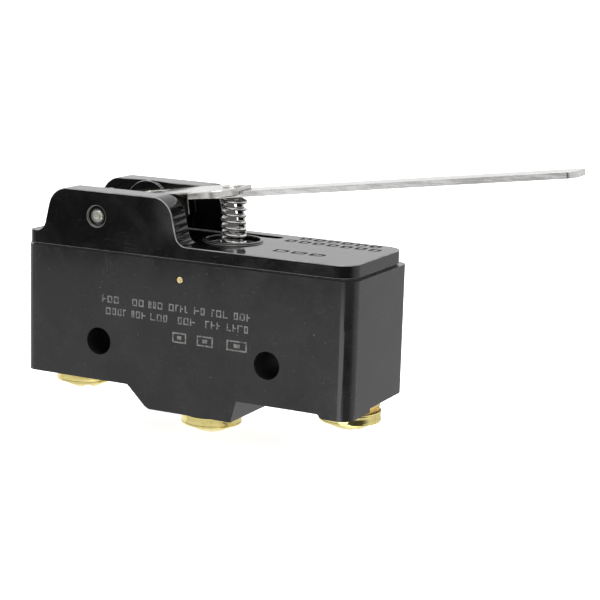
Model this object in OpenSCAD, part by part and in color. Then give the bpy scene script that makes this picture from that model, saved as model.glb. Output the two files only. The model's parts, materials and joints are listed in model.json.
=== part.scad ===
// Snap-action limit switch with a long hinged lever and an outside return spring.
// Origin: midway between the two mounting holes, on the centre plane of the case.
// +X runs along the lever to its free tip, +Y along the mounting holes, +Z up.

/* [Case] */
// Length of the moulded case
case_len = 49.2; // [47:0.1:52]
// Width of the moulded case
case_w = 17.45; // [17:0.05:19]
// Underside of the case below the mounting holes
case_bottom = -5.35; // [-6:0.05:-5]
// Joint between the base and the upper case
base_top = 5.9; // [5.5:0.1:6.2]
// Joint between the upper case and the lever cover
mid_top = 12.1; // [11.9:0.1:12.4]
// Radius of the upright corners
corner_r = 1.8; // [1:0.1:2.5]
// Underside of the raised block that carries the middle terminal
bulge_bottom = -8.3; // [-9:0.1:-8]

/* [Mounting holes] */
// Distance between the mounting holes
hole_pitch = 25.4; // [25:0.1:26]
// Diameter of the mounting holes
hole_d = 3.7; // [3.2:0.1:4]

/* [Lever cover] */
// Top face of the cover
cover_top = 14.05; // [13.9:0.05:14.3]
// Top of the two ears that carry the hinge pin
ear_top = 20.2; // [20.2:0.1:21]
// Thickness of an ear
ear_t = 3.6; // [3:0.1:3.7]
// Slope of the ear ends from upright
ear_draft = 13; // [8:1:16]
// Rounding of the ear's top corners
ear_r = 3; // [1.5:0.1:3.2]

/* [Lever] */
// Rise of the lever from level at rest
lever_rise = 8.07; // [7.5:0.01:8.5]
// Distance from the hinge pin to the lever's tip
lever_len = 64.4; // [40:0.1:70]
// Width of the lever blade
blade_w = 4.75; // [4:0.05:6]
// Thickness of the lever blade
blade_t = 0.8; // [0.6:0.05:0.9]
// Thickness of the bracket's sheet metal
sheet_t = 0.45; // [0.4:0.05:0.5]
// Half width of the bracket's front pad on the near side
pad_half = 5.8; // [5.6:0.1:6]
// Diameter of the hinge pin
pin_d = 1.8; // [1.6:0.1:2]

/* [Return spring] */
// Outer diameter of the spring
spring_od = 3.5; // [3.2:0.1:3.8]
// Diameter of the spring wire
wire_d = 0.45; // [0.35:0.05:0.5]
// Number of turns
spring_turns = 8; // [5:0.5:9]

/* [Terminals] */
// Distance of the end terminals from the middle one
terminal_pitch = 20.7; // [20.5:0.1:20.9]
// Diameter of the clamp washers
washer_d = 8.3; // [7.5:0.1:8.4]
// Diameter of the screw heads
head_d = 6.2; // [5.5:0.1:6.5]
// Diameter of the screw shanks
shank_d = 3.4; // [3:0.1:3.5]

/* [Hidden] */
$fn = 96;

half_len = case_len / 2;
half_w = case_w / 2;
fit = 0.05;
black = "#26262a";
brass = "#c8a53c";
steel = "#b9babd";
silver = "#d8d8da";

// Case shell
wall = 1.8;
cavity_top = 10.9;
cavity_half_w = 6.9;
cavity_half_len = half_len - wall;
contact_x = 9.8;
bulge_slope_x = [-8.2, -5.45, -4.8];
bulge_right_x = [7.6, 8.4];
bulge_chamfer = 0.35;

// Hinge and ears
pin_x = -13.4;
pin_z = 16.8;
ear_mid_x = -11.4;
ear_half_top = 9.03;
ear_y = 8.45;
boss_r = 3.4;
boss_h = 0.4;
foot_r = 1.6;
counterbore_r = 1.45;
counterbore_depth = 0.3;

// Cover top
cover_inset_x = 0.5;
cover_inset_left = 0.3;
cover_inset_y = half_w - ear_y;
cover_r = 2.6;
cover_r_left = 1.2;
shadow_gap = 0.2;
seat_x = 2.75;
seat_z = 13.5;
seat_r = 3.6;
ring_r = 4.1;
ring_h = 0.25;
nub_r = 0.95;
slot_x = [-0.1, 7.2];
slot_y = [4.8, 6.6];
mark_depth = 0.12;
mark_len = 1.5;
mark_w = 1.7;
mark_line = 0.42;

// Plunger
plunger_x = -7.4;
plunger_r = 1.5;
plunger_tip = 15.6;
plunger_foot_r = 2.3;
plunger_foot = [7.85, 10.8];

// Lever, in its own frame: origin on the hinge pin, +X along the blade
plate_top = 2.16;
plate_under = plate_top - sheet_t;
plate_half = 4.2;
plate_rear = -1.4;
pad_rear = 12.67;
pad_front = 18.6;
pad_r = 3.2;
pad_far_half = 2.9;
pad_far_r = 2.5;
rim_h = 0.93;
cheek_r = 2.5;
cheek_end = 7;
cheek_low = -2.2;
tongue_x = 6;
tongue_tip = -1.5;
tongue_r = 0.6;
tongue_w = 3;
window_len = 3.4;
blade_start = 13.4;
rivet_x = 16.2;
leg_x = [13.6, 14.6];
leg_low = -7.3;
leg_y = 5.8;
leg_arm_z = [1, 1.45];
hook_x = [11.4, 14.6];
hook_h = 0.5;

// Snap blade
blade_z = 7.2;
snap_t = 0.25;
bead_r = 0.2;
anchor_x = -15.2;
snap_half_w = 3.2;
snap_arm_w = 1.1;
snap_end = 11;
tongue_arm_w = 1.6;

// Terminals
strap_t = 0.8;
strap_w = 4;
plate_w = 6;
plate_len = 6;
plate_boss_r = 3.5;
com_x = -terminal_pitch + 0.4;
side_seat = -6.4;
mid_seat = -9.8;
pocket_depth = [0.15, 0.85];
com_strap_x = [-18.2, -17.4];
no_strap_x = [4.9, 5.7];
nc_strap_x = [17.4, 18.2];
no_shelf_z = 4.3;
nc_shelf_z = 8.85;
contact_r = 1.6;
screw_len = 6.2;
washer_h = 1.45;
head_h = 1.45;
slot_w = 1.1;
slot_depth = 0.9;
step_block = [20.8, 24.55];
step_low = -5.9;

// Rounded rectangular block with upright corners
module slab(x, y, z, r)
    translate([0, 0, z[0]])
        linear_extrude(z[1] - z[0]) rounded_plan(x, y, r);

module rounded_plan(x, y, r) {
    translate([x[0] + r, y[0]]) square([x[1] - x[0] - 2 * r, y[1] - y[0]]);
    translate([x[0], y[0] + r]) square([x[1] - x[0], y[1] - y[0] - 2 * r]);
    for (cx = [x[0] + r, x[1] - r], cy = [y[0] + r, y[1] - r])
        translate([cx, cy]) circle(r);
}

// Plain block between two corners
module block(x, y, z)
    translate([x[0], y[0], z[0]]) cube([x[1] - x[0], y[1] - y[0], z[1] - z[0]]);

// Cylinder along Y from y[0] to y[1]
module rod_y(x, z, r, y)
    translate([x, y[0], z]) rotate([-90, 0, 0]) cylinder(r = r, h = y[1] - y[0]);

// Outline drawn in X and Z, extruded from y[0] to y[1]
module side_profile(y)
    translate([0, y[1], 0]) rotate([90, 0, 0]) linear_extrude(y[1] - y[0]) children();

// Lever parts are drawn level in the lever's frame, then tilted to the rest position
module on_lever()
    translate([pin_x, 0, pin_z]) rotate([0, -lever_rise, 0]) children();

// ---- Case ----

module base_case() color(black) difference() {
    union() {
        slab([-half_len, half_len], [-half_w, half_w], [case_bottom, base_top], corner_r);
        side_profile([-half_w, half_w]) polygon([
            [bulge_slope_x[0], case_bottom + 0.01],
            [bulge_slope_x[1], bulge_bottom + bulge_chamfer],
            [bulge_slope_x[2], bulge_bottom],
            [bulge_right_x[0], bulge_bottom],
            [bulge_right_x[1], case_bottom + 0.01]]);
        end_step();
    }
    for (x = [-hole_pitch / 2, hole_pitch / 2]) rod_y(x, 0, hole_d / 2, [-half_w - 1, half_w + 1]);
    terminal_pocket(com_x, case_bottom + pocket_depth[0], 0);
    terminal_pocket(0, bulge_bottom + pocket_depth[1], no_strap_x[1] - plate_len / 2);
    terminal_pocket(terminal_pitch, case_bottom + pocket_depth[0], 0);
    screw_clearance(com_x, side_seat);
    screw_clearance(0, mid_seat);
    screw_clearance(terminal_pitch, side_seat);
    strap_slot(com_strap_x, [case_bottom - 1, base_top + 1]);
    strap_slot(no_strap_x, [bulge_bottom - 1, base_top + 1]);
    strap_slot(nc_strap_x, [case_bottom - 1, base_top + 1]);
    block([no_strap_x[0] - fit, 12], [-3.2, 3.2], [no_shelf_z - 0.1, base_top + 1]);
}

// Shallow raised corner under the right-hand end
module end_step() intersection() {
    side_profile([-half_w, 0.2]) polygon([
        [step_block[0] - 0.8, case_bottom + 0.01],
        [step_block[0], step_low],
        [step_block[1], step_low],
        [step_block[1], case_bottom + 0.01]]);
    difference() {
        slab([-half_len, half_len], [-half_w, half_w], [step_low - 1, base_top], corner_r);
        translate([terminal_pitch, 0, step_low - 1]) cylinder(d = washer_d + 0.6, h = 3);
    }
}

// Shallow recess in the underside that a terminal plate sits in
module terminal_pocket(x, ceiling, extra)
    block([x - plate_len / 2 - fit, x + plate_len / 2 + extra + fit],
        [-plate_w / 2 - fit, plate_w / 2 + fit], [ceiling - 2, ceiling]);

module screw_clearance(x, seat)
    translate([x, 0, seat]) cylinder(r = shank_d / 2 + 0.3, h = screw_len + 0.4);

module strap_slot(x, z)
    block([x[0] - fit, x[1] + fit], [-strap_w / 2 - fit, strap_w / 2 + fit], z);

module mid_case() color(black) difference() {
    slab([-half_len, half_len], [-half_w, half_w], [base_top, mid_top], corner_r);
    block([-cavity_half_len, cavity_half_len], [-cavity_half_w, cavity_half_w],
        [base_top - 1, cavity_top]);
    translate([plunger_x, 0, cavity_top - 1]) cylinder(r = plunger_r + fit, h = 4);
    leg_slot([cavity_top - 1, mid_top + 1], -2.6);
    rod_y(cross_pin_x, cross_pin_z, cross_pin_r + 0.01, [-half_w - 1, -cavity_half_w + 1]);
}

// Long rounded slot that the lever's stop leg passes through
module leg_slot(z, x_start)
    slab([x_start, slot_x[1]], slot_y, z, (slot_y[1] - slot_y[0]) / 2 - 0.01);

// ---- Lever cover ----

module lever_cover() color(black) difference() {
    union() {
        cover_plate();
        for (side = [-1, 1]) ear(side);
        translate([seat_x, 0, cover_top - 0.5]) cylinder(r = ring_r, h = 0.5);
        translate([seat_x, 0, cover_top]) cylinder(r1 = ring_r, r2 = ring_r - 0.1, h = ring_h);
    }
    rod_y(pin_x, pin_z, pin_d / 2 + 0.01, [-half_w - 1, half_w + 1]);
    for (side = [-1, 1])
        rod_y(pin_x, pin_z, counterbore_r,
            side < 0 ? [-ear_y - 1, -ear_y + counterbore_depth] : [ear_y - counterbore_depth, ear_y + 1]);
    translate([plunger_x, 0, mid_top - 1]) cylinder(r = plunger_r + fit, h = 4);
    spring_recess();
    leg_slot([mid_top - 1, cover_top + 1], slot_x[0]);
    cover_marks();
}

module cover_plate() {
    translate([0, 0, mid_top + shadow_gap]) linear_extrude(cover_top - mid_top - shadow_gap) cover_plan(0);
    translate([0, 0, mid_top]) linear_extrude(shadow_gap + 0.1) cover_plan(0.25);
}

// Cover outline with tight corners on the left and wide ones on the right
module cover_plan(shrink) {
    y = ear_y - shrink;
    rounded_plan([-half_len + cover_inset_left + shrink, 0], [-y, y], cover_r_left - shrink);
    rounded_plan([-10, half_len - cover_inset_x - shrink], [-y, y], cover_r - shrink);
}

module spring_recess() translate([seat_x, 0, seat_z]) {
    difference() {
        cylinder(r = seat_r, h = 3);
        translate([0, 0, -1]) cylinder(r = nub_r, h = 1.8);
    }
    translate([0, 0, cover_top + ring_h - seat_z - 0.1]) cylinder(r1 = seat_r, r2 = seat_r + 0.2, h = 0.2);
}

// One ear with the raised disc that faces the bracket's cheek
module ear(side) {
    outer = side * ear_y;
    inner = side * (ear_y - ear_t);
    side_profile([min(outer, inner), max(outer, inner)]) ear_outline();
    face = side * (ear_y - ear_t - boss_h);
    rod_y(pin_x, pin_z, boss_r, [min(face, inner), max(face, inner)]);
}

// Ear outline in X and Z: sloping ends, rounded top corners and hollow foot fillets
module ear_outline() {
    rise = ear_top - cover_top;
    half_foot = ear_half_top + rise * tan(ear_draft);
    setback = ear_r / tan((90 + ear_draft) / 2);
    side_drop = ear_top - setback * cos(ear_draft);
    translate([ear_mid_x, 0]) {
        polygon([
            [-half_foot, cover_top - 1],
            [-half_foot, cover_top],
            [-ear_half_top - setback * sin(ear_draft), side_drop],
            [-ear_half_top + setback, ear_top],
            [ear_half_top - setback, ear_top],
            [ear_half_top + setback * sin(ear_draft), side_drop],
            [half_foot, cover_top],
            [half_foot, cover_top - 1]]);
        for (side = [-1, 1]) {
            translate([side * (ear_half_top - setback), ear_top - ear_r]) circle(ear_r);
            foot_fillet(side, half_foot);
        }
    }
}

module foot_fillet(side, half_foot) {
    reach = foot_r * tan((90 - ear_draft) / 2);
    difference() {
        polygon([
            [side * (half_foot - 0.3), cover_top - 0.3],
            [side * (half_foot - reach * sin(ear_draft)), cover_top + reach * cos(ear_draft)],
            [side * (half_foot + reach), cover_top + foot_r],
            [side * (half_foot + reach), cover_top - 0.3]]);
        translate([side * (half_foot + reach), cover_top + foot_r]) circle(foot_r);
    }
}

// Three rows of plain sunk frames on the cover's top
module cover_marks() {
    for (i = [0 : 5]) mark(9.4 + i * 2.05, 6.9, mark_len);
    for (i = [0 : 6]) mark(8.4 + i * 2.05, 4.4, mark_len);
    for (i = [0 : 2]) mark(10.6 + i * 2.6, -3.3, mark_len + 0.5);
}

module mark(x, y, len) {
    z = [cover_top - mark_depth, cover_top + 1];
    difference() {
        slab([x, x + len], [y - mark_w / 2, y + mark_w / 2], z, 0.3);
        block([x + mark_line, x + len - mark_line],
            [y - mark_w / 2 + mark_line, y + mark_w / 2 - mark_line], [z[0] - 1, z[1] + 1]);
    }
}

module hinge_pin() color(steel) difference() {
    rod_y(pin_x, pin_z, pin_d / 2, [-ear_y + 0.1, ear_y - 0.1]);
    for (side = [-1, 1])
        translate([pin_x, side * (ear_y - 0.1), pin_z])
            rotate([side * 90, 0, 0]) cylinder(r1 = pin_d / 5, r2 = pin_d / 10, h = 0.2);
}

cross_pin_x = -0.4;
cross_pin_z = 9.68;
cross_pin_r = 0.5;

module cross_pin() color(brass)
    rod_y(cross_pin_x, cross_pin_z, cross_pin_r, [-half_w + 0.05, -cavity_half_w]);

// ---- Terminals and fixed contacts ----

// Flat terminal plate, or one with a round boss under it, with the screw's clearance hole
module terminal_plate(x, seat, z, extra) difference() {
    union() {
        block([x - plate_len / 2, x + plate_len / 2 + extra], [-plate_w / 2, plate_w / 2], z);
        if (seat < z[0]) translate([x, 0, seat]) {
            cylinder(r = plate_boss_r, h = z[0] - seat - 0.02);
            cylinder(r = plate_w / 2 - 0.1, h = z[0] - seat + 0.1);
        }
    }
    translate([x, 0, seat - 1]) cylinder(r = shank_d / 2 + fit, h = 4);
}

module com_terminal() color(brass) {
    terminal_plate(com_x, side_seat, [side_seat, case_bottom + pocket_depth[0]], 0);
    block(com_strap_x, [-strap_w / 2, strap_w / 2], [side_seat, blade_z - 0.3]);
    block([com_strap_x[0], anchor_x - 0.1], [-strap_w / 2, strap_w / 2],
        [blade_z - 0.3 - strap_t, blade_z - 0.3]);
}

module no_terminal() color(brass) {
    terminal_plate(0, mid_seat, [bulge_bottom, bulge_bottom + pocket_depth[1]],
        no_strap_x[1] - plate_len / 2);
    block(no_strap_x, [-strap_w / 2, strap_w / 2], [bulge_bottom, no_shelf_z + strap_t]);
    block([no_strap_x[0], contact_x + 2], [-strap_w / 2, strap_w / 2], [no_shelf_z, no_shelf_z + strap_t]);
}

module nc_terminal() color(brass) {
    terminal_plate(terminal_pitch, side_seat, [side_seat, case_bottom + pocket_depth[0]], 0);
    block(nc_strap_x, [-strap_w / 2, strap_w / 2], [side_seat, nc_shelf_z + strap_t]);
    block([contact_x - 2, nc_strap_x[1]], [-strap_w / 2, strap_w / 2], [nc_shelf_z, nc_shelf_z + strap_t]);
}

module no_contact() color(silver)
    translate([contact_x, 0, no_shelf_z + strap_t]) cylinder(r = contact_r, h = 0.6);

module nc_contact() color(silver)
    translate([contact_x, 0, nc_shelf_z - 0.7]) cylinder(r = contact_r, h = 0.7);

// Notched block that holds the root of the snap blade
module blade_anchor() color(brass) difference() {
    block([anchor_x - 1.9, anchor_x - 0.1], [-strap_w / 2, strap_w / 2], [blade_z - 0.3, blade_z + 1.2]);
    block([anchor_x - 0.7, anchor_x + 1], [-strap_w, strap_w], [blade_z - 0.15, blade_z + 0.4]);
}

// ---- Snap blade ----

module snap_spring() color(brass) difference() {
    union() {
        block([anchor_x - 0.4, snap_end], [-snap_half_w, snap_half_w], [blade_z, blade_z + snap_t]);
        rod_y(anchor_x - 0.1, blade_z + snap_t / 2, bead_r, [-snap_half_w, snap_half_w]);
    }
    for (side = [-1, 1]) {
        y = side * (snap_half_w - snap_arm_w);
        y_in = side * tongue_arm_w / 2;
        block([anchor_x + 1.6, contact_x - 2.4], [min(y, y_in), max(y, y_in)], [blade_z - 1, blade_z + 1]);
    }
    translate([contact_x, 0, blade_z - 1]) cylinder(r = 0.8, h = 3);
}

module moving_contact() color(silver) translate([contact_x, 0, 0]) {
    translate([0, 0, 6.9]) cylinder(r = contact_r, h = blade_z - 6.9);
    translate([0, 0, 7.0]) cylinder(r = 0.8, h = 0.8);
    translate([0, 0, blade_z + snap_t]) cylinder(r = contact_r, h = nc_shelf_z - 0.75 - blade_z - snap_t);
}

// ---- Plunger ----

module plunger() color(black) translate([plunger_x, 0, 0]) {
    translate([0, 0, plunger_foot[0]]) cylinder(r = plunger_foot_r, h = plunger_foot[1] - plunger_foot[0]);
    translate([0, 0, plunger_foot[1]]) cylinder(r = plunger_r, h = plunger_tip - 0.5 - plunger_foot[1]);
    intersection() {
        translate([0, 0, plunger_tip - 2.5]) sphere(2.5);
        translate([0, 0, plunger_tip - 0.5]) cylinder(r = plunger_r, h = 1);
    }
}

// ---- Return spring ----

// Centre of the wire at turn t, with one wide flat turn at the foot
function coil_r(t) = (spring_od - wire_d) / 2 + 0.5 * max(0, 1 - t / 1.2);
function coil_z(t) = seat_z + wire_d / 2 + 0.02
    + (t < 0.75 ? 0 : (t - 0.75) * (spring_top() - seat_z - wire_d - 0.04) / (spring_turns - 1.25));
function spring_top() = pin_z + (seat_x - pin_x) * tan(lever_rise)
    + (plate_under - blade_t) / cos(lever_rise) - 0.35;
function coil_z_end(t) = min(coil_z(t), spring_top() - wire_d / 2 - 0.02);
function coil_point(t) = [
    seat_x + coil_r(t) * cos(360 * t), -coil_r(t) * sin(360 * t), coil_z_end(t)];

module return_spring() color(steel) {
    sides = 8;
    steps = 20;
    count = floor(spring_turns * steps);
    rings = [for (i = [0 : count]) let (t = i / steps) [
        for (k = [0 : sides - 1]) let (a = 360 * k / sides)
            coil_point(t) + wire_d / 2 * [
                cos(a) * cos(360 * t), -cos(a) * sin(360 * t), sin(a)]]];
    points = [for (ring = rings) each ring];
    skin = [for (i = [0 : count - 1], k = [0 : sides - 1]) let (n = (k + 1) % sides) each [
        [i * sides + k, i * sides + n, (i + 1) * sides + k],
        [i * sides + n, (i + 1) * sides + n, (i + 1) * sides + k]]];
    ends = [[for (k = [sides - 1 : -1 : 0]) k],
        [for (k = [0 : sides - 1]) count * sides + k]];
    polyhedron(points = points, faces = concat(skin, ends));
}

// ---- Lever ----

module lever_bracket() color(steel) on_lever() difference() {
    union() {
        translate([0, 0, plate_under]) linear_extrude(sheet_t) pad_plan(0);
        pad_rim();
        for (side = [-1, 1]) cheek(side);
        tongue();
        stop_leg();
    }
    rod_y(0, 0, pin_d / 2 + fit, [-6, 6]);
    block([tongue_x - 0.25 - window_len, tongue_x - 0.23], [-tongue_w / 2 - 0.1, tongue_w / 2 + 0.1],
        [plate_under - 0.1, plate_top + 1]);
    translate([rivet_x, 0, 0]) cylinder(r = 0.7, h = 5);
}

// Square rear corners and round front corners, shrunk or grown by an amount
module pad_plan(grow) {
    if (grow == 0)
        translate([plate_rear, -plate_half]) square([pad_rear - plate_rear + 1, 2 * plate_half]);
    pad_side(-1, pad_half + grow, pad_r + grow, pad_front + grow);
    pad_side(1, pad_far_half + grow, pad_far_r + grow, pad_front + grow);
}

// Half of the pad, from the centre line out to one side
module pad_side(side, half, r, front) {
    rear = pad_rear - (front < pad_front ? 1 : 0);
    mirror([0, side < 0 ? 1 : 0, 0]) {
        translate([rear, -0.01]) square([front - r - rear, half + 0.01]);
        translate([rear, -0.01]) square([front - rear, half - r + 0.01]);
        translate([front - r, half - r]) circle(r);
    }
}

// Down-turned rim round the pad, open where the blade leaves it
module pad_rim() translate([0, 0, plate_top - rim_h]) difference() {
    linear_extrude(rim_h) pad_plan(0);
    translate([0, 0, -1]) linear_extrude(rim_h + 1 - sheet_t) pad_plan(-sheet_t);
    block([pad_rear - 20, pad_rear + 0.001], [-pad_half - 1, pad_half + 1], [-1, rim_h + 1]);
    block([pad_front - 2, pad_front + 1], [-blade_w / 2 - 0.02, blade_w / 2 + 0.02], [-1, rim_h - sheet_t]);
}

// Side cheek that hangs on the hinge pin
module cheek(side) {
    y = side < 0 ? [-plate_half, -plate_half + sheet_t] : [plate_half - sheet_t, plate_half];
    side_profile(y) {
        intersection() {
            circle(cheek_r);
            translate([-cheek_r, -cheek_r]) square([2 * cheek_r, cheek_r + plate_top - 0.01]);
        }
        polygon([
            [plate_rear, 0], [plate_rear, plate_top - 0.01],
            [cheek_end, plate_top - 0.01], [cheek_end, cheek_low + 0.6],
            [cheek_end - 0.6, cheek_low], [0, -cheek_r]]);
    }
}

// Lanced tongue that pushes the plunger, with a rolled tip
module tongue() {
    block([tongue_x - 0.22, tongue_x + 0.22], [-tongue_w / 2, tongue_w / 2],
        [tongue_tip + tongue_r, plate_top - 0.1]);
    rod_y(tongue_x, tongue_tip + tongue_r, tongue_r, [-tongue_w / 2, tongue_w / 2]);
}

// Leg through the cover's slot; its hook stops the lever's upward travel
module stop_leg() {
    y = [leg_y - sheet_t, leg_y];
    block(leg_x, [pad_far_half - sheet_t, leg_y], leg_arm_z);
    block(leg_x, y, [leg_low, leg_arm_z[1]]);
    block(hook_x, y, [leg_low, leg_low + hook_h]);
}

module lever_blade() color(silver) on_lever() difference() {
    translate([0, 0, plate_under - blade_t]) linear_extrude(blade_t) {
        translate([blade_start, -blade_w / 2]) square([lever_len - blade_start - 1.2, blade_w]);
        rounded_plan([lever_len - 8, lever_len], [-blade_w / 2, blade_w / 2], 1.2);
    }
    translate([rivet_x, 0, 0]) cylinder(r = 0.7, h = 5);
}

// Rivet through the pad and the blade; its lower head centres the spring
module lever_rivet() color(steel) on_lever() translate([rivet_x, 0, 0]) {
    translate([0, 0, plate_under - blade_t]) cylinder(r = 0.68, h = blade_t + sheet_t + 0.1);
    translate([0, 0, plate_top]) cylinder(r1 = 1.25, r2 = 1.05, h = 0.12);
    translate([0, 0, plate_under - blade_t - 0.35]) cylinder(r1 = 0.75, r2 = 1.0, h = 0.35);
}

// ---- Terminal hardware ----

// Clamp washer with a shallow seat for the screw head
module clamp_washer(x, seat) color(brass) translate([x, 0, seat - washer_h]) rotate_extrude() polygon([
    [shank_d / 2 + 0.15, 0.1], [shank_d / 2 + 0.15, washer_h], [washer_d / 2 - 0.12, washer_h],
    [washer_d / 2, washer_h - 0.12], [washer_d / 2, 0.15], [washer_d / 2 - 0.15, 0],
    [head_d / 2 + 0.3, 0], [head_d / 2 + 0.1, 0.1]]);

// Slotted screw, head down
module terminal_screw(x, seat, turn) color(brass)
translate([x, 0, seat - washer_h + 0.1]) rotate([0, 0, turn]) difference() {
    union() {
        translate([0, 0, 1 - head_h]) cylinder(d = head_d, h = head_h - 1);
        intersection() {
            translate([0, 0, dome_r() - head_h]) sphere(dome_r());
            translate([0, 0, -head_h]) cylinder(d = head_d, h = head_h - 0.2);
        }
        cylinder(d = shank_d, h = screw_len);
        translate([0, 0, screw_len]) cylinder(d1 = shank_d, d2 = shank_d - 1, h = 0.5);
    }
    block([-head_d, head_d], [-slot_w / 2, slot_w / 2], [-head_h - 1, slot_depth - head_h]);
}

// Dome radius that meets the head's rim one unit above its crown
function dome_r() = (pow(head_d / 2, 2) + 1) / 2;

module com_washer() clamp_washer(com_x, side_seat);
module no_washer() clamp_washer(0, mid_seat);
module nc_washer() clamp_washer(terminal_pitch, side_seat);
module com_screw() terminal_screw(com_x, side_seat, 129);
module no_screw() terminal_screw(0, mid_seat, 28);
module nc_screw() terminal_screw(terminal_pitch, side_seat, 144);

base_case();
mid_case();
lever_cover();
hinge_pin();
cross_pin();
com_terminal();
no_terminal();
nc_terminal();
no_contact();
nc_contact();
blade_anchor();
return_spring();
lever_bracket();
lever_blade();
lever_rivet();
plunger();
snap_spring();
moving_contact();
com_washer();
no_washer();
nc_washer();
com_screw();
no_screw();
nc_screw();
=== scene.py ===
"""Looks of a snap-action limit switch with a long hinged lever. Metres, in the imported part's frame."""
import json
import math
import random

import bmesh
import bpy
from mathutils import Matrix, Vector


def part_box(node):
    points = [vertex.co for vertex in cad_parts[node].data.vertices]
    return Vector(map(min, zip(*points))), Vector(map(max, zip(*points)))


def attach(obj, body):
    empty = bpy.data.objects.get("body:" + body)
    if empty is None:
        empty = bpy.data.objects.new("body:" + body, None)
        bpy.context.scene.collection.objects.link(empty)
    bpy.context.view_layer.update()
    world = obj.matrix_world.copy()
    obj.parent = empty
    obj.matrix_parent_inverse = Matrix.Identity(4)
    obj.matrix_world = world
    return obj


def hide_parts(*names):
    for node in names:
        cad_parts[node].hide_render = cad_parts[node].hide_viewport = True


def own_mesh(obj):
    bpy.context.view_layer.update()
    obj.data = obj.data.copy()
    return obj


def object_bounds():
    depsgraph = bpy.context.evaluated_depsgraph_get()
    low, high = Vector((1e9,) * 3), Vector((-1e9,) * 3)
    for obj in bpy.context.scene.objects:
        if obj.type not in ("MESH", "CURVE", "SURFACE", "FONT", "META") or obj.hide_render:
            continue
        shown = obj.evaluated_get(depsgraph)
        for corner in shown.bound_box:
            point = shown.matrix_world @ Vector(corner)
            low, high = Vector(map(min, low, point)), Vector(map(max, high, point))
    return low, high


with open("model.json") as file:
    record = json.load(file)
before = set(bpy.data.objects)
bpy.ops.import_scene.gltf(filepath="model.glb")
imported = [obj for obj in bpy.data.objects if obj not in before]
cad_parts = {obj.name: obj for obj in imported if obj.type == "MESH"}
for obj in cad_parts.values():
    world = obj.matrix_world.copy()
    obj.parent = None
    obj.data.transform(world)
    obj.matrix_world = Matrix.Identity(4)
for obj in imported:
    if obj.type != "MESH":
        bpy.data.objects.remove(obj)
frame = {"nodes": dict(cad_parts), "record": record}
cad_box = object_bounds()
MM = 0.001
WELD = 0.02 * MM
FLAT_ANGLE = math.radians(0.6)
NODES = frame["nodes"]
JOINTS = {joint["name"]: joint for joint in frame["record"]["behaviour"]["joints"]}
bpy.context.scene.view_settings.view_transform = "Standard"

# ------------------------------------------------------------------ camera
CAMERA_PLACE = Vector((0.11519, -0.20760, 0.05424))
YAW, PITCH, ROLL = math.radians(26.23), math.radians(11.5), math.radians(1.74)
forward = Vector((-math.sin(YAW) * math.cos(PITCH), math.cos(YAW) * math.cos(PITCH), -math.sin(PITCH)))
level = Vector((math.cos(YAW), math.sin(YAW), 0))
upright = level.cross(forward)
right = math.cos(ROLL) * level + math.sin(ROLL) * upright
up = right.cross(forward)
camera_data = bpy.data.cameras.new("camera")
camera_data.sensor_width = 36
camera_data.lens = 107.8
camera_data.clip_start, camera_data.clip_end = 0.01, 20
camera = bpy.data.objects.new("camera", camera_data)
bpy.context.scene.collection.objects.link(camera)
camera.matrix_world = Matrix((
    (right.x, up.x, -forward.x, CAMERA_PLACE.x),
    (right.y, up.y, -forward.y, CAMERA_PLACE.y),
    (right.z, up.z, -forward.z, CAMERA_PLACE.z),
    (0, 0, 0, 1)))
bpy.context.scene.camera = camera


# ------------------------------------------------------------------ material helpers
class Nodes:
    """Short ways to add nodes to a tree."""

    def __init__(self, tree):
        self.tree = tree

    def add(self, kind, **attrs):
        made = self.tree.nodes.new(kind)
        for key, value in attrs.items():
            setattr(made, key, value)
        return made

    def wire(self, source, target):
        self.tree.links.new(source, target)

    def ramp(self, source, low, high, to_low=0.0, to_high=1.0):
        made = self.add("ShaderNodeMapRange")
        made.interpolation_type = "SMOOTHSTEP"
        ends = (("From Min", low), ("From Max", high), ("To Min", to_low), ("To Max", to_high))
        for key, value in ends:
            made.inputs[key].default_value = value
        self.wire(source, made.inputs["Value"])
        return made.outputs["Result"]

    def math(self, op, a, b=None):
        made = self.add("ShaderNodeMath", operation=op)
        for socket, value in zip(made.inputs, (a, b)):
            if value is None:
                continue
            if isinstance(value, (int, float)):
                socket.default_value = value
            else:
                self.wire(value, socket)
        return made.outputs[0]


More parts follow.
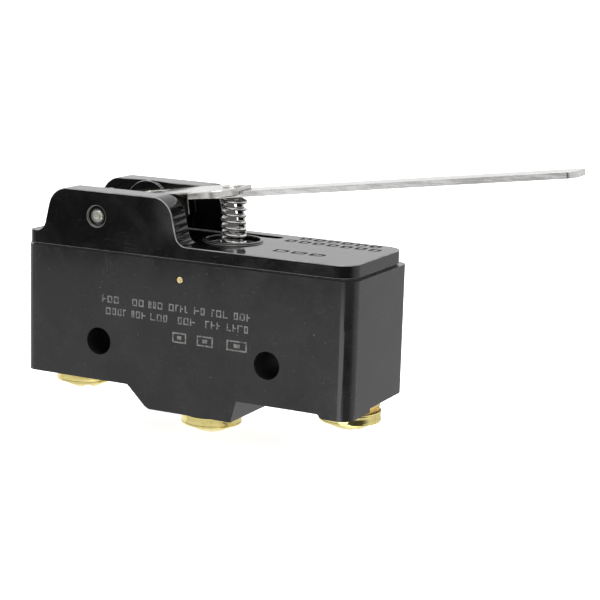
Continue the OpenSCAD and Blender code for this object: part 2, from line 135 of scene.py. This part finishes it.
class Shade(Nodes):
    """A material with one Principled shader."""

    def __init__(self, name, **sockets):
        self.mat = bpy.data.materials.new(name)
        self.mat.use_nodes = True
        super().__init__(self.mat.node_tree)
        self.bsdf = self.tree.nodes["Principled BSDF"]
        self.coords = self.add("ShaderNodeTexCoord").outputs["Object"]
        for key, value in sockets.items():
            self.bsdf.inputs[key.replace("_", " ")].default_value = value

    def stretched(self, scale):
        mapping = self.add("ShaderNodeMapping")
        mapping.inputs["Scale"].default_value = scale
        self.wire(self.coords, mapping.inputs["Vector"])
        return mapping.outputs["Vector"]

    def noise(self, scale, detail=4, rough=0.5, vector=None, distort=0.0):
        made = self.add("ShaderNodeTexNoise")
        made.inputs["Scale"].default_value = scale
        made.inputs["Detail"].default_value = detail
        made.inputs["Roughness"].default_value = rough
        made.inputs["Distortion"].default_value = distort
        self.wire(vector or self.coords, made.inputs["Vector"])
        return made.outputs["Fac"]

    def mix(self, factor, a, b):
        made = self.add("ShaderNodeMix", data_type="RGBA")
        self.wire(factor, made.inputs["Factor"])
        for socket, value in ((made.inputs["A"], a), (made.inputs["B"], b)):
            if isinstance(value, tuple):
                socket.default_value = (*value, 1)
            else:
                self.wire(value, socket)
        return made.outputs["Result"]

    def bump(self, height, distance, strength=1.0, under=None):
        made = self.add("ShaderNodeBump")
        made.inputs["Strength"].default_value = strength
        made.inputs["Distance"].default_value = distance
        self.wire(height, made.inputs["Height"])
        if under is not None:
            self.wire(under, made.inputs["Normal"])
        return made.outputs["Normal"]

    def finish(self, colour=None, rough=None, normal=None):
        for key, source in (("Base Color", colour), ("Roughness", rough), ("Normal", normal)):
            if source is not None:
                self.wire(source, self.bsdf.inputs[key])
        return self.mat


def scaled(tone, *factors):
    """A colour with its channels multiplied, by one factor or by one for each channel."""
    factors = factors * 3 if len(factors) == 1 else factors
    return tuple(c * f for c, f in zip(tone, factors))


def phenolic(name, tone, gloss, scratches=1.0, specks=0.5):
    """Black moulded phenolic: flow mottling, fine pores, hair scratches and a few dust specks."""
    s = Shade(name, IOR=1.5)
    flow = s.noise(180, 5, 0.6, distort=0.6)
    grain = s.noise(5200, 3, 0.6)
    hair_a = s.noise(900, 2, 0.5, s.stretched((1.0, 1.0, 14.0)), 0.4)
    hair_b = s.noise(700, 2, 0.5, s.stretched((12.0, 12.0, 1.0)), 0.3)
    hair = s.math("MAXIMUM", s.ramp(hair_a, 0.66, 0.7), s.ramp(hair_b, 0.67, 0.71))
    dust = s.ramp(s.noise(3600, 1, 0.3), 0.79, 0.83)
    base = s.mix(s.ramp(flow, 0.35, 0.65), scaled(tone, 0.8), scaled(tone, 1.25))
    base = s.mix(s.math("MULTIPLY", hair, 0.05 * scratches), base, (0.16, 0.16, 0.165))
    base = s.mix(s.math("MULTIPLY", dust, specks), base, (0.12, 0.115, 0.11))
    rough = s.math("ADD", s.ramp(flow, 0.3, 0.7, gloss - 0.03, gloss + 0.04),
                   s.math("MULTIPLY", s.math("ADD", hair, dust), 0.1))
    normal = s.bump(grain, 0.0000025, 0.35)
    normal = s.bump(hair, 0.000002, 0.3 * scratches, normal)
    normal = s.bump(s.noise(60, 2, 0.5), 0.00003, 0.2, normal)
    return s.finish(base, rough, normal)


def painted_edge_highlight(name, tone):
    """Painted highlight for bevelled edges: a pale colour, broken up along its length."""
    s = Shade(name, IOR=1.5)
    run = s.noise(420, 4, 0.6, distort=0.5)
    base = s.mix(s.ramp(run, 0.3, 0.7), scaled(tone, 0.45), tone)
    return s.finish(base, s.ramp(run, 0.3, 0.7, 0.32, 0.2), s.bump(run, 0.000006, 0.3))


def steel(name, tone, gloss, along=(1, 1, 1), streak=0.5):
    """Rolled or drawn steel: fine lines along one direction, dull patches and small marks."""
    s = Shade(name, Metallic=1.0)
    lines = s.noise(300, 4, 0.65, s.stretched(along))
    patch = s.noise(150, 4, 0.6, distort=0.8)
    marks = s.ramp(s.noise(1300, 2, 0.4), 0.70, 0.76)
    base = s.mix(s.ramp(patch, 0.3, 0.75), tone, scaled(tone, 0.84))
    base = s.mix(s.math("MULTIPLY", s.ramp(lines, 0.3, 0.7), 0.35 * streak), base, scaled(tone, 0.62))
    base = s.mix(s.math("MULTIPLY", marks, 0.3), base, (0.2, 0.17, 0.14))
    rough = s.math("ADD", s.ramp(lines, 0.3, 0.7, gloss - 0.04, gloss + 0.06),
                   s.math("MULTIPLY", marks, 0.15))
    rough = s.math("ADD", rough, s.ramp(patch, 0.4, 0.8, 0.0, 0.05))
    normal = s.bump(lines, 0.000004, 0.3 * streak)
    normal = s.bump(patch, 0.00002, 0.2, normal)
    return s.finish(base, rough, normal)


def brass(name, tone, gloss, along=(1, 1, 1)):
    """Bright brass with warm tarnish in patches and fine machining or pressing marks."""
    s = Shade(name, Metallic=1.0)
    fine = s.noise(2600, 4, 0.6, s.stretched(along))
    tarnish = s.noise(420, 5, 0.65, distort=1.0)
    base = s.mix(s.ramp(tarnish, 0.45, 0.8), tone, scaled(tone, 0.78, 0.68, 0.55))
    base = s.mix(s.ramp(fine, 0.62, 0.8), base, scaled(tone, 0.85))
    rough = s.math("ADD", s.ramp(tarnish, 0.4, 0.8, gloss, gloss + 0.1), s.ramp(fine, 0.4, 0.8, 0.0, 0.05))
    normal = s.bump(fine, 0.000004, 0.35)
    normal = s.bump(tarnish, 0.000008, 0.2, normal)
    return s.finish(base, rough, normal)


def ink(name, tone):
    """Thin worn pad print."""
    s = Shade(name, IOR=1.4)
    wear = s.noise(2600, 4, 0.6)
    base = s.mix(s.ramp(wear, 0.42, 0.68), tone, scaled(tone, 0.3))
    return s.finish(base, s.ramp(wear, 0.3, 0.7, 0.5, 0.7), s.bump(wear, 0.000004, 0.4))


def floor_paper(name):
    """White seamless paper, lit from behind as on a light table."""
    s = Shade(name, Emission_Color=(1, 1, 1, 1), Emission_Strength=0.75)
    fibre = s.noise(900, 3, 0.6)
    base = s.mix(s.ramp(s.noise(3, 3, 0.5), 0.3, 0.7), (0.92, 0.92, 0.92), (0.90, 0.90, 0.905))
    return s.finish(base, s.ramp(fibre, 0.3, 0.7, 0.75, 0.85), s.bump(fibre, 0.00002, 0.2))


BLACK_BASE = phenolic("black_base", (0.0082, 0.0080, 0.0084), 0.15)
BLACK_MID = phenolic("black_mid", (0.0078, 0.0077, 0.0081), 0.15)
BLACK_COVER = phenolic("black_cover", (0.0034, 0.0034, 0.0035), 0.09, 0.6, 0.25)
# The two pale edge colours are painted highlights on the bevelled edges of the cover and the base.
COVER_EDGE_HIGHLIGHT = painted_edge_highlight("cover_edge_highlight", (0.20, 0.20, 0.20))
CASE_EDGE_HIGHLIGHT = painted_edge_highlight("case_edge_highlight", (0.030, 0.030, 0.031))
STEEL_BLADE = steel("steel_blade", (0.64, 0.635, 0.625), 0.12, (1, 9, 9))
STEEL_BRACKET = steel("steel_bracket", (0.62, 0.61, 0.585), 0.13, (1, 5, 5), 0.3)
STEEL_PIN = steel("steel_pin", (0.50, 0.50, 0.44), 0.22, (5, 1, 5))
STEEL_SPRING = steel("steel_spring", (0.72, 0.71, 0.69), 0.07, (3, 3, 3), 0.2)
STEEL_RIVET = steel("steel_rivet", (0.42, 0.42, 0.39), 0.16, (3, 3, 3), 0.3)
BRASS_BRIGHT = brass("brass_bright", (0.90, 0.80, 0.34), 0.09, (1.0, 1.0, 9.0))
BRASS_WASHER = brass("brass_washer", (0.90, 0.78, 0.32), 0.10, (1.0, 1.0, 6.0))
BRASS_STRIP = brass("brass_strip", (0.86, 0.66, 0.30), 0.2)
BRASS_PIN = brass("brass_pin", (0.95, 0.80, 0.42), 0.18, (6.0, 1.0, 6.0))
BRONZE = brass("bronze", (0.72, 0.42, 0.20), 0.26)
SILVER = steel("silver", (0.86, 0.85, 0.83), 0.18, (3, 3, 3), 0.2)
PRINT = ink("print", (0.125, 0.122, 0.118))


# ------------------------------------------------------------------ mesh helpers
def new_piece(name, bm, material, body, smooth_angle=35):
    """A finished piece from a bmesh, smooth except at sharp edges, riding on its body."""
    bmesh.ops.recalc_face_normals(bm, faces=bm.faces)
    mesh = bpy.data.meshes.new(name)
    bm.to_mesh(mesh)
    bm.free()
    obj = bpy.data.objects.new(name, mesh)
    bpy.context.scene.collection.objects.link(obj)
    mesh.materials.append(material)
    mesh.shade_smooth()
    mesh.set_sharp_from_angle(angle=math.radians(smooth_angle))
    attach(obj, body)
    return obj


def stands_for(obj, node):
    """The piece replaces a CAD node, which is hidden."""
    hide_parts(node)
    return obj


def copy_of(node):
    """The CAD node's mesh, welded and with its flat faces merged."""
    bm = bmesh.new()
    bm.from_mesh(NODES[node].data)
    bmesh.ops.remove_doubles(bm, verts=bm.verts, dist=WELD)
    bmesh.ops.dissolve_limit(bm, angle_limit=FLAT_ANGLE, verts=bm.verts, edges=bm.edges)
    return bm


def rounded(obj, width, segments=3, angle=38, edge_highlight_material=None, clamp=True):
    """Real rounded edges, narrower beside small details, with the flat faces kept flat.

    With clamp the whole piece's edges give way to its smallest one. The bevel faces can take a second
    material, a painted highlight.
    """
    bm = bmesh.new()
    bm.from_mesh(obj.data)
    weight = bm.edges.layers.float.new("bevel_weight_edge")
    for edge in bm.edges:
        if len(edge.link_faces) == 2 and edge.calc_face_angle(0) > math.radians(angle):
            room = 0.4 * min(f.calc_area() / (f.calc_perimeter() / 2) for f in edge.link_faces)
            edge[weight] = min(1.0, room / (width * MM))
    bm.to_mesh(obj.data)
    bm.free()
    bevel = obj.modifiers.new("edges", "BEVEL")
    bevel.width = width * MM
    bevel.segments = segments
    bevel.limit_method = "WEIGHT"
    bevel.use_clamp_overlap = clamp
    bevel.miter_outer = "MITER_ARC"
    # The bevel faces get the pale edge material: a painted highlight along the edges.
    if edge_highlight_material is not None:
        obj.data.materials.append(edge_highlight_material)
        bevel.material = 1
    flat = obj.modifiers.new("flat_faces", "WEIGHTED_NORMAL")
    flat.mode = "FACE_AREA"
    flat.weight = 80
    flat.keep_sharp = True
    return obj


def shell(node, name, material, body, width, segments=3, edge_highlight_material=None, clamp=True):
    """A CAD node's shape with real rounded edges, which may carry a painted highlight."""
    obj = new_piece(name, copy_of(node), material, body)
    rounded(obj, width, segments, edge_highlight_material=edge_highlight_material, clamp=clamp)
    return stands_for(obj, node)


def revolve(bm, profile, centre, steps=96, axis="Z"):
    """Turns (radius, height) pairs in millimetres into a solid of revolution; a ring closes on itself."""
    def place(r, h, k):
        x, y = r * math.cos(2 * math.pi * k / steps), r * math.sin(2 * math.pi * k / steps)
        local = Vector((x, y, h)) if axis == "Z" else Vector((x, h, y))
        return (local + Vector(centre)) * MM

    rings = []
    for r, h in profile:
        count = 1 if r < 1e-6 else steps
        rings.append([bm.verts.new(place(r, h, k)) for k in range(count)])
    if profile[0][0] > 1e-6 and profile[-1][0] > 1e-6:
        rings.append(rings[0])
    for lower, upper in zip(rings, rings[1:]):
        for k in range(steps):
            n = (k + 1) % steps
            if len(lower) == 1:
                bm.faces.new((lower[0], upper[k], upper[n]))
            elif len(upper) == 1:
                bm.faces.new((lower[k], upper[0], lower[n]))
            else:
                bm.faces.new((lower[k], lower[n], upper[n], upper[k]))
    return bm


def arc(cx, cy, r, start, end, steps=6):
    """Points of a circular arc in a profile, angles in degrees."""
    turn = [math.radians(start + (end - start) * i / steps) for i in range(steps + 1)]
    return [(cx + r * math.cos(a), cy + r * math.sin(a)) for a in turn]


def cut_with(obj, cutter_bm):
    """Cuts a closed mesh out of a piece and keeps the result as its mesh."""
    mesh = bpy.data.meshes.new("cutter")
    bmesh.ops.recalc_face_normals(cutter_bm, faces=cutter_bm.faces)
    cutter_bm.to_mesh(mesh)
    cutter_bm.free()
    cutter = bpy.data.objects.new("cutter", mesh)
    bpy.context.scene.collection.objects.link(cutter)
    cut = obj.modifiers.new("cut", "BOOLEAN")
    cut.operation = "DIFFERENCE"
    cut.solver = "EXACT"
    cut.object = cutter
    bpy.context.view_layer.update()
    result = bpy.data.meshes.new_from_object(obj.evaluated_get(bpy.context.evaluated_depsgraph_get()))
    obj.modifiers.clear()
    obj.data = result
    bpy.data.objects.remove(cutter)
    return obj


# ------------------------------------------------------------------ case
# The base and cover get pale bevel faces: painted highlights along their edges.
shell("base_case", "case_base", BLACK_BASE, "housing", 0.16, 3, CASE_EDGE_HIGHLIGHT)
shell("mid_case", "case_upper", BLACK_MID, "housing", 0.10, 3)
shell("lever_cover", "case_cover", BLACK_COVER, "housing", 0.14, 3, COVER_EDGE_HIGHLIGHT, False)


def hinge_pin():
    """Ground pin with rounded ends and a small centre dimple in each."""
    low, high = (Vector(v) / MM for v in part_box("hinge_pin"))
    centre = (low + high) / 2
    r, half = (high.x - low.x) / 2, (high.y - low.y) / 2
    end = [(0, half - 0.12), (0.22, half - 0.10), (0.34, half - 0.02), (0.45, half)]
    end += arc(r - 0.35, half - 0.35, 0.35, 90, 0, 6)
    profile = end + [(x, -y) for x, y in reversed(end)]
    body = revolve(bmesh.new(), profile, centre, 64, "Y")
    obj = new_piece("hinge_pin_ground", body, STEEL_PIN, "housing", 50)
    stands_for(obj, "hinge_pin")


def cross_pin():
    """Small brass pin end with a domed face."""
    low, high = (Vector(v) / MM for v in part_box("cross_pin"))
    centre = Vector(((low.x + high.x) / 2, high.y, (low.z + high.z) / 2))
    r, length = (high.x - low.x) / 2, high.y - low.y
    profile = [(0, 0), (r - 0.05, 0), (r, -0.05)] + arc(r - 0.16, 0.16 - length, 0.16, 0, -90, 5)
    profile += [(0.16, 0.02 - length), (0, 0.05 - length)]
    obj = new_piece("cross_pin_end", revolve(bmesh.new(), profile, centre, 48, "Y"), BRASS_PIN, "housing", 60)
    stands_for(obj, "cross_pin")


hinge_pin()
cross_pin()

# ------------------------------------------------------------------ lever
shell("lever_bracket", "bracket", STEEL_BRACKET, "lever", 0.13, 3, None, False)
shell("lever_blade", "blade", STEEL_BLADE, "lever", 0.12)

PIVOT = Vector(JOINTS["lever_hinge"]["pos_m"]) / MM
LEVER_RISE = 8.07
RIVET_X, PLATE_TOP, PLATE_UNDER, BLADE_T = 16.2, 2.16, 1.71, 0.8


def lever_rivet():
    """Domed rivet through pad and blade, made level and then tilted with the lever."""
    under = PLATE_UNDER - BLADE_T
    profile = [(0, under - 0.35)] + arc(0.75, under - 0.10, 0.25, -90, 0, 4)
    profile += [(1.0, under - 0.001), (0.68, under), (0.68, PLATE_TOP), (1.25, PLATE_TOP + 0.001)]
    profile += arc(1.15, PLATE_TOP + 0.02, 0.1, 0, 80, 4)
    profile += [(0.8, PLATE_TOP + 0.11), (0.35, PLATE_TOP + 0.07), (0, PLATE_TOP + 0.04)]
    bm = revolve(bmesh.new(), profile, (RIVET_X, 0, 0), 64)
    tilt = Matrix.Translation(PIVOT * MM) @ Matrix.Rotation(-math.radians(LEVER_RISE), 4, "Y")
    bmesh.ops.transform(bm, matrix=tilt, verts=bm.verts)
    stands_for(new_piece("rivet", bm, STEEL_RIVET, "lever", 40), "lever_rivet")


lever_rivet()


# ------------------------------------------------------------------ return spring
def return_spring():
    """Round-wire coil with closed ends."""
    low, high = (Vector(v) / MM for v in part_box("return_spring"))
    wire, outside, turns, steps, sides = 0.45, 3.5, 8, 44, 14
    flare, flare_turns = 0.5, 1.2
    seat = Vector((2.75, 0, 13.5))
    radius = (outside - wire) / 2
    top = high.z - wire / 2
    foot = low.z + wire / 2
    lap = 0.85

    def centre_line(t):
        climb = min(max((t - lap) / (turns - 2 * lap), 0), 1)
        z = foot + (top - foot) * climb
        reach = radius + flare * max(0, 1 - t / flare_turns)
        return Vector((seat.x + reach * math.cos(2 * math.pi * t), -reach * math.sin(2 * math.pi * t), z))

    bm = bmesh.new()
    rings = []
    count = turns * steps
    for i in range(count + 1):
        t = i / steps
        here = centre_line(t)
        along = (centre_line(t + 0.01) - centre_line(t - 0.01)).normalized()
        out = Vector((math.cos(2 * math.pi * t), -math.sin(2 * math.pi * t), 0))
        side = along.cross(out).normalized()
        out = side.cross(along)
        tip = min(1, (0.25 + min(i, count - i)) / 1.5)
        rings.append([bm.verts.new((here + wire / 2 * tip * (
            math.cos(2 * math.pi * k / sides) * out + math.sin(2 * math.pi * k / sides) * side)) * MM)
            for k in range(sides)])
    for a, b in zip(rings, rings[1:]):
        for k in range(sides):
            bm.faces.new((a[k], a[(k + 1) % sides], b[(k + 1) % sides], b[k]))
    bm.faces.new(rings[0])
    bm.faces.new(reversed(rings[-1]))
    obj = stands_for(new_piece("spring_coil", bm, STEEL_SPRING, "housing", 60), "return_spring")
    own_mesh(obj)


return_spring()

# ------------------------------------------------------------------ terminals
SHANK_R, BLUNT_R, THREAD_PITCH, THREAD_DEPTH, THREAD_SIDES = 1.7, 1.2, 0.8, 0.22, 48
HEAD_R, HEAD_H, SLOT_W, SLOT_DEPTH = 3.1, 1.45, 1.1, 0.9
SLOT_TURN = {"com": 129, "no": 28, "nc": 144}


def clamp_washer(side):
    """Clamp washer with an upright wall, a fine turned line round it and a shallow seat for the head."""
    low, high = (Vector(v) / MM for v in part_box(side + "_washer"))
    r, h, bore = (high.x - low.x) / 2, high.z - low.z, SHANK_R + 0.15
    profile = [(bore, 0.12), (HEAD_R + 0.08, 0.1), (HEAD_R + 0.16, 0.02), (HEAD_R + 0.24, 0)]
    profile += arc(r - 0.16, 0.16, 0.16, -90, 0, 5)
    profile += [(r, 0.30), (r - 0.05, 0.34), (r - 0.07, 0.62), (r - 0.07, 0.95), (r - 0.02, 1.12)]
    profile += arc(r - 0.12, h - 0.12, 0.12, 0, 90, 4) + [(bore + 0.05, h), (bore, h - 0.05)]
    centre = ((low.x + high.x) / 2, (low.y + high.y) / 2, low.z)
    obj = new_piece(side + "_flat_washer", revolve(bmesh.new(), profile, centre, 128), BRASS_WASHER,
                    side + "_clamp_body", 40)
    stands_for(obj, side + "_washer")


def thread_skin(bm, centre, z0, z1, steps=THREAD_SIDES, rows_per_turn=10):
    """A helical thread as one skin that fades into the shank at both ends."""
    rows = int((z1 - z0) / THREAD_PITCH * rows_per_turn)
    rings = []
    for j in range(rows + 1):
        z = z0 + (z1 - z0) * j / rows
        fade = min(1, j / rows_per_turn, (rows - j) / rows_per_turn + 0.2)
        ring = []
        for k in range(steps):
            phase = ((z - z0) / THREAD_PITCH - k / steps) % 1
            r = SHANK_R - THREAD_DEPTH * fade * (1 - abs(2 * phase - 1))
            a = 2 * math.pi * k / steps
            ring.append(bm.verts.new(Vector((r * math.cos(a), r * math.sin(a), z)) * MM + centre))
        rings.append(ring)
    for lower, upper in zip(rings, rings[1:]):
        for k in range(steps):
            n = (k + 1) % steps
            bm.faces.new((lower[k], lower[n], upper[n], upper[k]))
    return rings[0], rings[-1]


def terminal_screw(side):
    """Slotted screw: domed head with a rounded rim, and a threaded shank with a blunt tip."""
    low, high = (Vector(v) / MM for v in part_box(side + "_screw"))
    centre = Vector(((low.x + high.x) / 2, (low.y + high.y) / 2, low.z))
    dome = (HEAD_R ** 2 + 1) / 2
    sweep = math.degrees(math.asin((HEAD_R - 0.12) / dome))
    profile = [(0, 0)] + arc(0, dome, dome, -90 + sweep / 8, -90 + sweep, 8)
    profile += arc(HEAD_R - 0.15, 1.08, 0.15, -30, 0, 3)
    profile += [(HEAD_R, HEAD_H - 0.05), (HEAD_R - 0.05, HEAD_H), (0, HEAD_H)]
    bm = revolve(bmesh.new(), profile, centre, 96)
    obj = new_piece(side + "_screw_slotted", bm, BRASS_BRIGHT, side + "_screw_body", 30)
    slot = bmesh.new()
    bmesh.ops.create_cube(slot, size=1)
    turn = Matrix.Rotation(math.radians(SLOT_TURN[side]), 4, "Z")
    size = Matrix.Diagonal((4 * HEAD_R * MM, SLOT_W * MM, 2 * SLOT_DEPTH * MM, 1))
    bmesh.ops.transform(slot, matrix=Matrix.Translation(centre * MM) @ turn @ size, verts=slot.verts)
    cut_with(obj, slot)
    bm = bmesh.new()
    bm.from_mesh(obj.data)
    top = high.z - low.z
    first, last = thread_skin(bm, centre * MM, HEAD_H - 0.02, top - 0.5)
    tip = []
    for k in range(THREAD_SIDES):
        a = 2 * math.pi * k / THREAD_SIDES
        point = Vector((BLUNT_R * math.cos(a), BLUNT_R * math.sin(a), top))
        tip.append(bm.verts.new(point * MM + centre * MM))
    for k in range(THREAD_SIDES):
        n = (k + 1) % THREAD_SIDES
        bm.faces.new((last[k], last[n], tip[n], tip[k]))
    bm.faces.new(tip)
    bm.faces.new(reversed(first))
    bm.to_mesh(obj.data)
    bm.free()
    obj.data.set_sharp_from_angle(angle=math.radians(30))
    rounded(obj, 0.05, 2, 45)
    stands_for(obj, side + "_screw")


for side in ("com", "no", "nc"):
    clamp_washer(side)
    terminal_screw(side)
    shell(side + "_terminal", side + "_terminal_strip", BRASS_STRIP, "housing", 0.08, 2)

# ------------------------------------------------------------------ inside parts
shell("plunger", "push_button", BLACK_COVER, "plunger_body", 0.12)
shell("snap_spring", "snap_blade", BRONZE, "contact_arm", 0.04, 2)
shell("moving_contact", "moving_contact_rivet", SILVER, "contact_arm", 0.10)
shell("no_contact", "no_contact_button", SILVER, "housing", 0.10)
shell("nc_contact", "nc_contact_button", SILVER, "housing", 0.10)
shell("blade_anchor", "anchor_block", BRASS_STRIP, "housing", 0.06, 2)


# ------------------------------------------------------------------ printed marks
def print_bars():
    """Plain pad-printed bars and frames on the near side, where a rating would be; no lettering."""
    chance = random.Random(7)
    thin, stem, gap = 0.17, 0.18, 0.25
    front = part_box("base_case")[0].y / MM
    bm = bmesh.new()

    def bar(x, z, w, h, t=0.02):
        corners = [(x, z), (x + w, z), (x + w, z + h), (x, z + h)]
        near = [bm.verts.new(Vector((cx, front - t, cz)) * MM) for cx, cz in corners]
        far = [bm.verts.new(Vector((cx, front + 0.01, cz)) * MM) for cx, cz in corners]
        bm.faces.new(near)
        for i in range(4):
            bm.faces.new((near[i], near[(i + 1) % 4], far[(i + 1) % 4], far[i]))
        bm.faces.new(reversed(far))

    def hollow(x, z, w, h, line=thin):
        bar(x, z, w, line)
        bar(x, z + h - line, w, line)
        bar(x, z + line, line, h - 2 * line)
        bar(x + w - line, z + line, line, h - 2 * line)

    def row(z, h, groups):
        for x0, x1 in groups:
            x = x0
            while x < x1 - 0.35:
                w = min(chance.choice((0.45, 0.6, 0.75)), x1 - x)
                if chance.random() < 0.55:
                    hollow(x, z, w, h)
                else:
                    bar(x, z, stem, h)
                    bar(x + stem, z + (h - thin) * chance.choice((0, 0.5, 1)), w - stem, thin)
                x += w + gap

    row(5.45, 0.95, ((-12.2, -9.5), (-7.5, -5.7), (-5.0, -2.7), (-1.9, 0.9), (1.9, 3.8), (4.5, 7.4),
                     (7.8, 10.4)))
    row(3.85, 0.95, ((-11.6, -8.4), (-7.6, -5.2), (-4.7, -1.6), (-0.5, 2.6), (3.6, 6.3), (6.8, 9.9)))
    for x, w in ((-1.3, 2.1), (2.4, 2.4), (6.8, 3.0)):
        hollow(x, 1.3, w, 1.4, 0.2)
        bar(x + w * 0.35, 1.75, w * 0.3, 0.5)
    new_piece("printed_bars", bm, PRINT, "housing", 20)


print_bars()

# ------------------------------------------------------------------ floor and light
FLOOR_Z = cad_box[0].z
FLOOR_REACH = 6000
CARD_LIFT = 0.1 * MM


def flat_panel(name, corners, z):
    """A flat polygon at one height, corners in millimetres."""
    mesh = bpy.data.meshes.new(name)
    mesh.from_pydata([(x * MM, y * MM, z) for x, y in corners], [], [tuple(range(len(corners)))])
    obj = bpy.data.objects.new(name, mesh)
    bpy.context.scene.collection.objects.link(obj)
    return obj


floor = flat_panel("floor", [(x * FLOOR_REACH, y * FLOOR_REACH)
                             for x, y in ((-1, -1), (1, -1), (1, 1), (-1, 1))], FLOOR_Z)
floor.data.materials.append(floor_paper("floor_paper"))
floor.visible_glossy = False


def reflector(name, corners, strength):
    """A lit card lying on the floor, seen only in reflections."""
    obj = flat_panel(name, corners, FLOOR_Z + CARD_LIFT)
    mat = bpy.data.materials.new(name)
    mat.use_nodes = True
    shader = mat.node_tree.nodes["Principled BSDF"]
    shader.inputs["Base Color"].default_value = (0, 0, 0, 1)
    shader.inputs["Emission Color"].default_value = (1, 1, 1, 1)
    shader.inputs["Emission Strength"].default_value = strength
    obj.data.materials.append(mat)
    obj.visible_camera = False
    obj.visible_diffuse = False
    obj.visible_shadow = False


reflector("front_card", ((-60, -4), (24, -4), (-17, -117), (-150, -117)), 0.62)
reflector("corner_card", ((24, -4), (27, -4), (43, -117), (-17, -117)), 2.3)
reflector("lever_card", ((-88, -152), (-40, -152), (0, -330), (-150, -330), (-118, -200)), 1.0)


def softbox(name, place, aim, size, power):
    """A rectangular light at one point, turned to face another; metres and watts."""
    light = bpy.data.lights.new(name, "AREA")
    light.shape = "RECTANGLE"
    light.size, light.size_y = size
    light.energy = power
    obj = bpy.data.objects.new(name, light)
    bpy.context.scene.collection.objects.link(obj)
    obj.location = place
    obj.rotation_mode = "QUATERNION"
    obj.rotation_quaternion = (Vector(aim) - Vector(place)).to_track_quat("-Z", "Y")


softbox("top", (-0.05, -0.10, 0.7), (0.01, 0, 0), (0.45, 0.3), 5)


def studio():
    """White surround, which below the horizon is dark on the near side and grey on the far right."""
    world = bpy.data.worlds.new("studio")
    bpy.context.scene.world = world
    world.use_nodes = True
    sky = Nodes(world.node_tree)
    split = sky.add("ShaderNodeSeparateXYZ")
    sky.wire(sky.add("ShaderNodeTexCoord").outputs["Generated"], split.inputs[0])
    east, north, rise = split.outputs

    def toward(degrees):
        facing = math.radians(degrees)
        return sky.math("ADD", sky.math("MULTIPLY", east, math.sin(facing)),
                        sky.math("MULTIPLY", north, -math.cos(facing)))

    near_angle, side_angle = 15, 140
    near_shade, side_shade = 0.96, 0.32
    low = sky.math("MULTIPLY", sky.ramp(rise, -0.09, -0.02, 1, 0), sky.ramp(rise, -0.6, -0.4, 0, 1))
    near = sky.math("MULTIPLY", sky.ramp(toward(near_angle), -0.3, 0.6, 0, 1), low)
    side = sky.math("MULTIPLY", sky.ramp(toward(side_angle), 0.3, 0.8, 0, side_shade), low)
    shade = sky.math("MAXIMUM", sky.math("MULTIPLY", near, near_shade), side)
    background = sky.tree.nodes["Background"]
    sky.wire(sky.math("SUBTRACT", 1.0, shade), background.inputs["Strength"])
    background.inputs["Color"].default_value = (1, 1, 1, 1)


studio()
